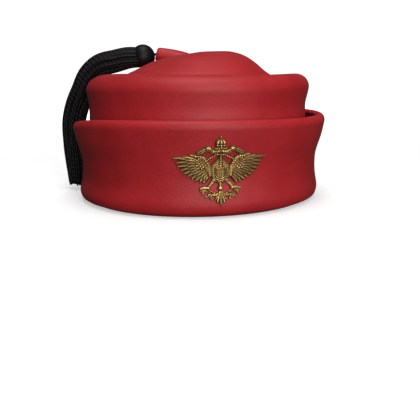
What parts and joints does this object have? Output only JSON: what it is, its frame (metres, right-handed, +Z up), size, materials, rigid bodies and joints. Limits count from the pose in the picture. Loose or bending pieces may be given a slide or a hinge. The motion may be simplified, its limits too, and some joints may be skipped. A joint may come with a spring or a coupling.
{
  "type": "fez hat",
  "caption": "Soft felt fez with a turned-up flaring cuff, rolled crown edge, domed top with a stem, a hanging tassel, and a cast metal badge on the cuff.",
  "frame": {"origin": "on the surface the hat rests on, under the middle of its overall box; the cap's own upright axis is 5.4 mm to +X and 0.6 mm to +Y of it, because the tassel counts in the box", "axes": "+Z up, -Y towards the front, where the badge is; the tassel hangs on the -X side, a little behind the middle"},
  "size_m": [0.2296, 0.2168, 0.1311],
  "materials": {
    "felt": "matt pressed wool felt with a short nap",
    "yarn": "black twisted yarn with a dull sheen",
    "badge_brass": "cast antique brass, dark in the hollows and worn bright on the ridges",
    "nut_brass": "plain dull brass"
  },
  "bodies": {
    "root": {"felt_cap": "felt", "tassel_cord": "yarn", "tassel": "yarn", "badge": "badge_brass", "badge_nut": "nut_brass"}
  },
  "joints": []
}
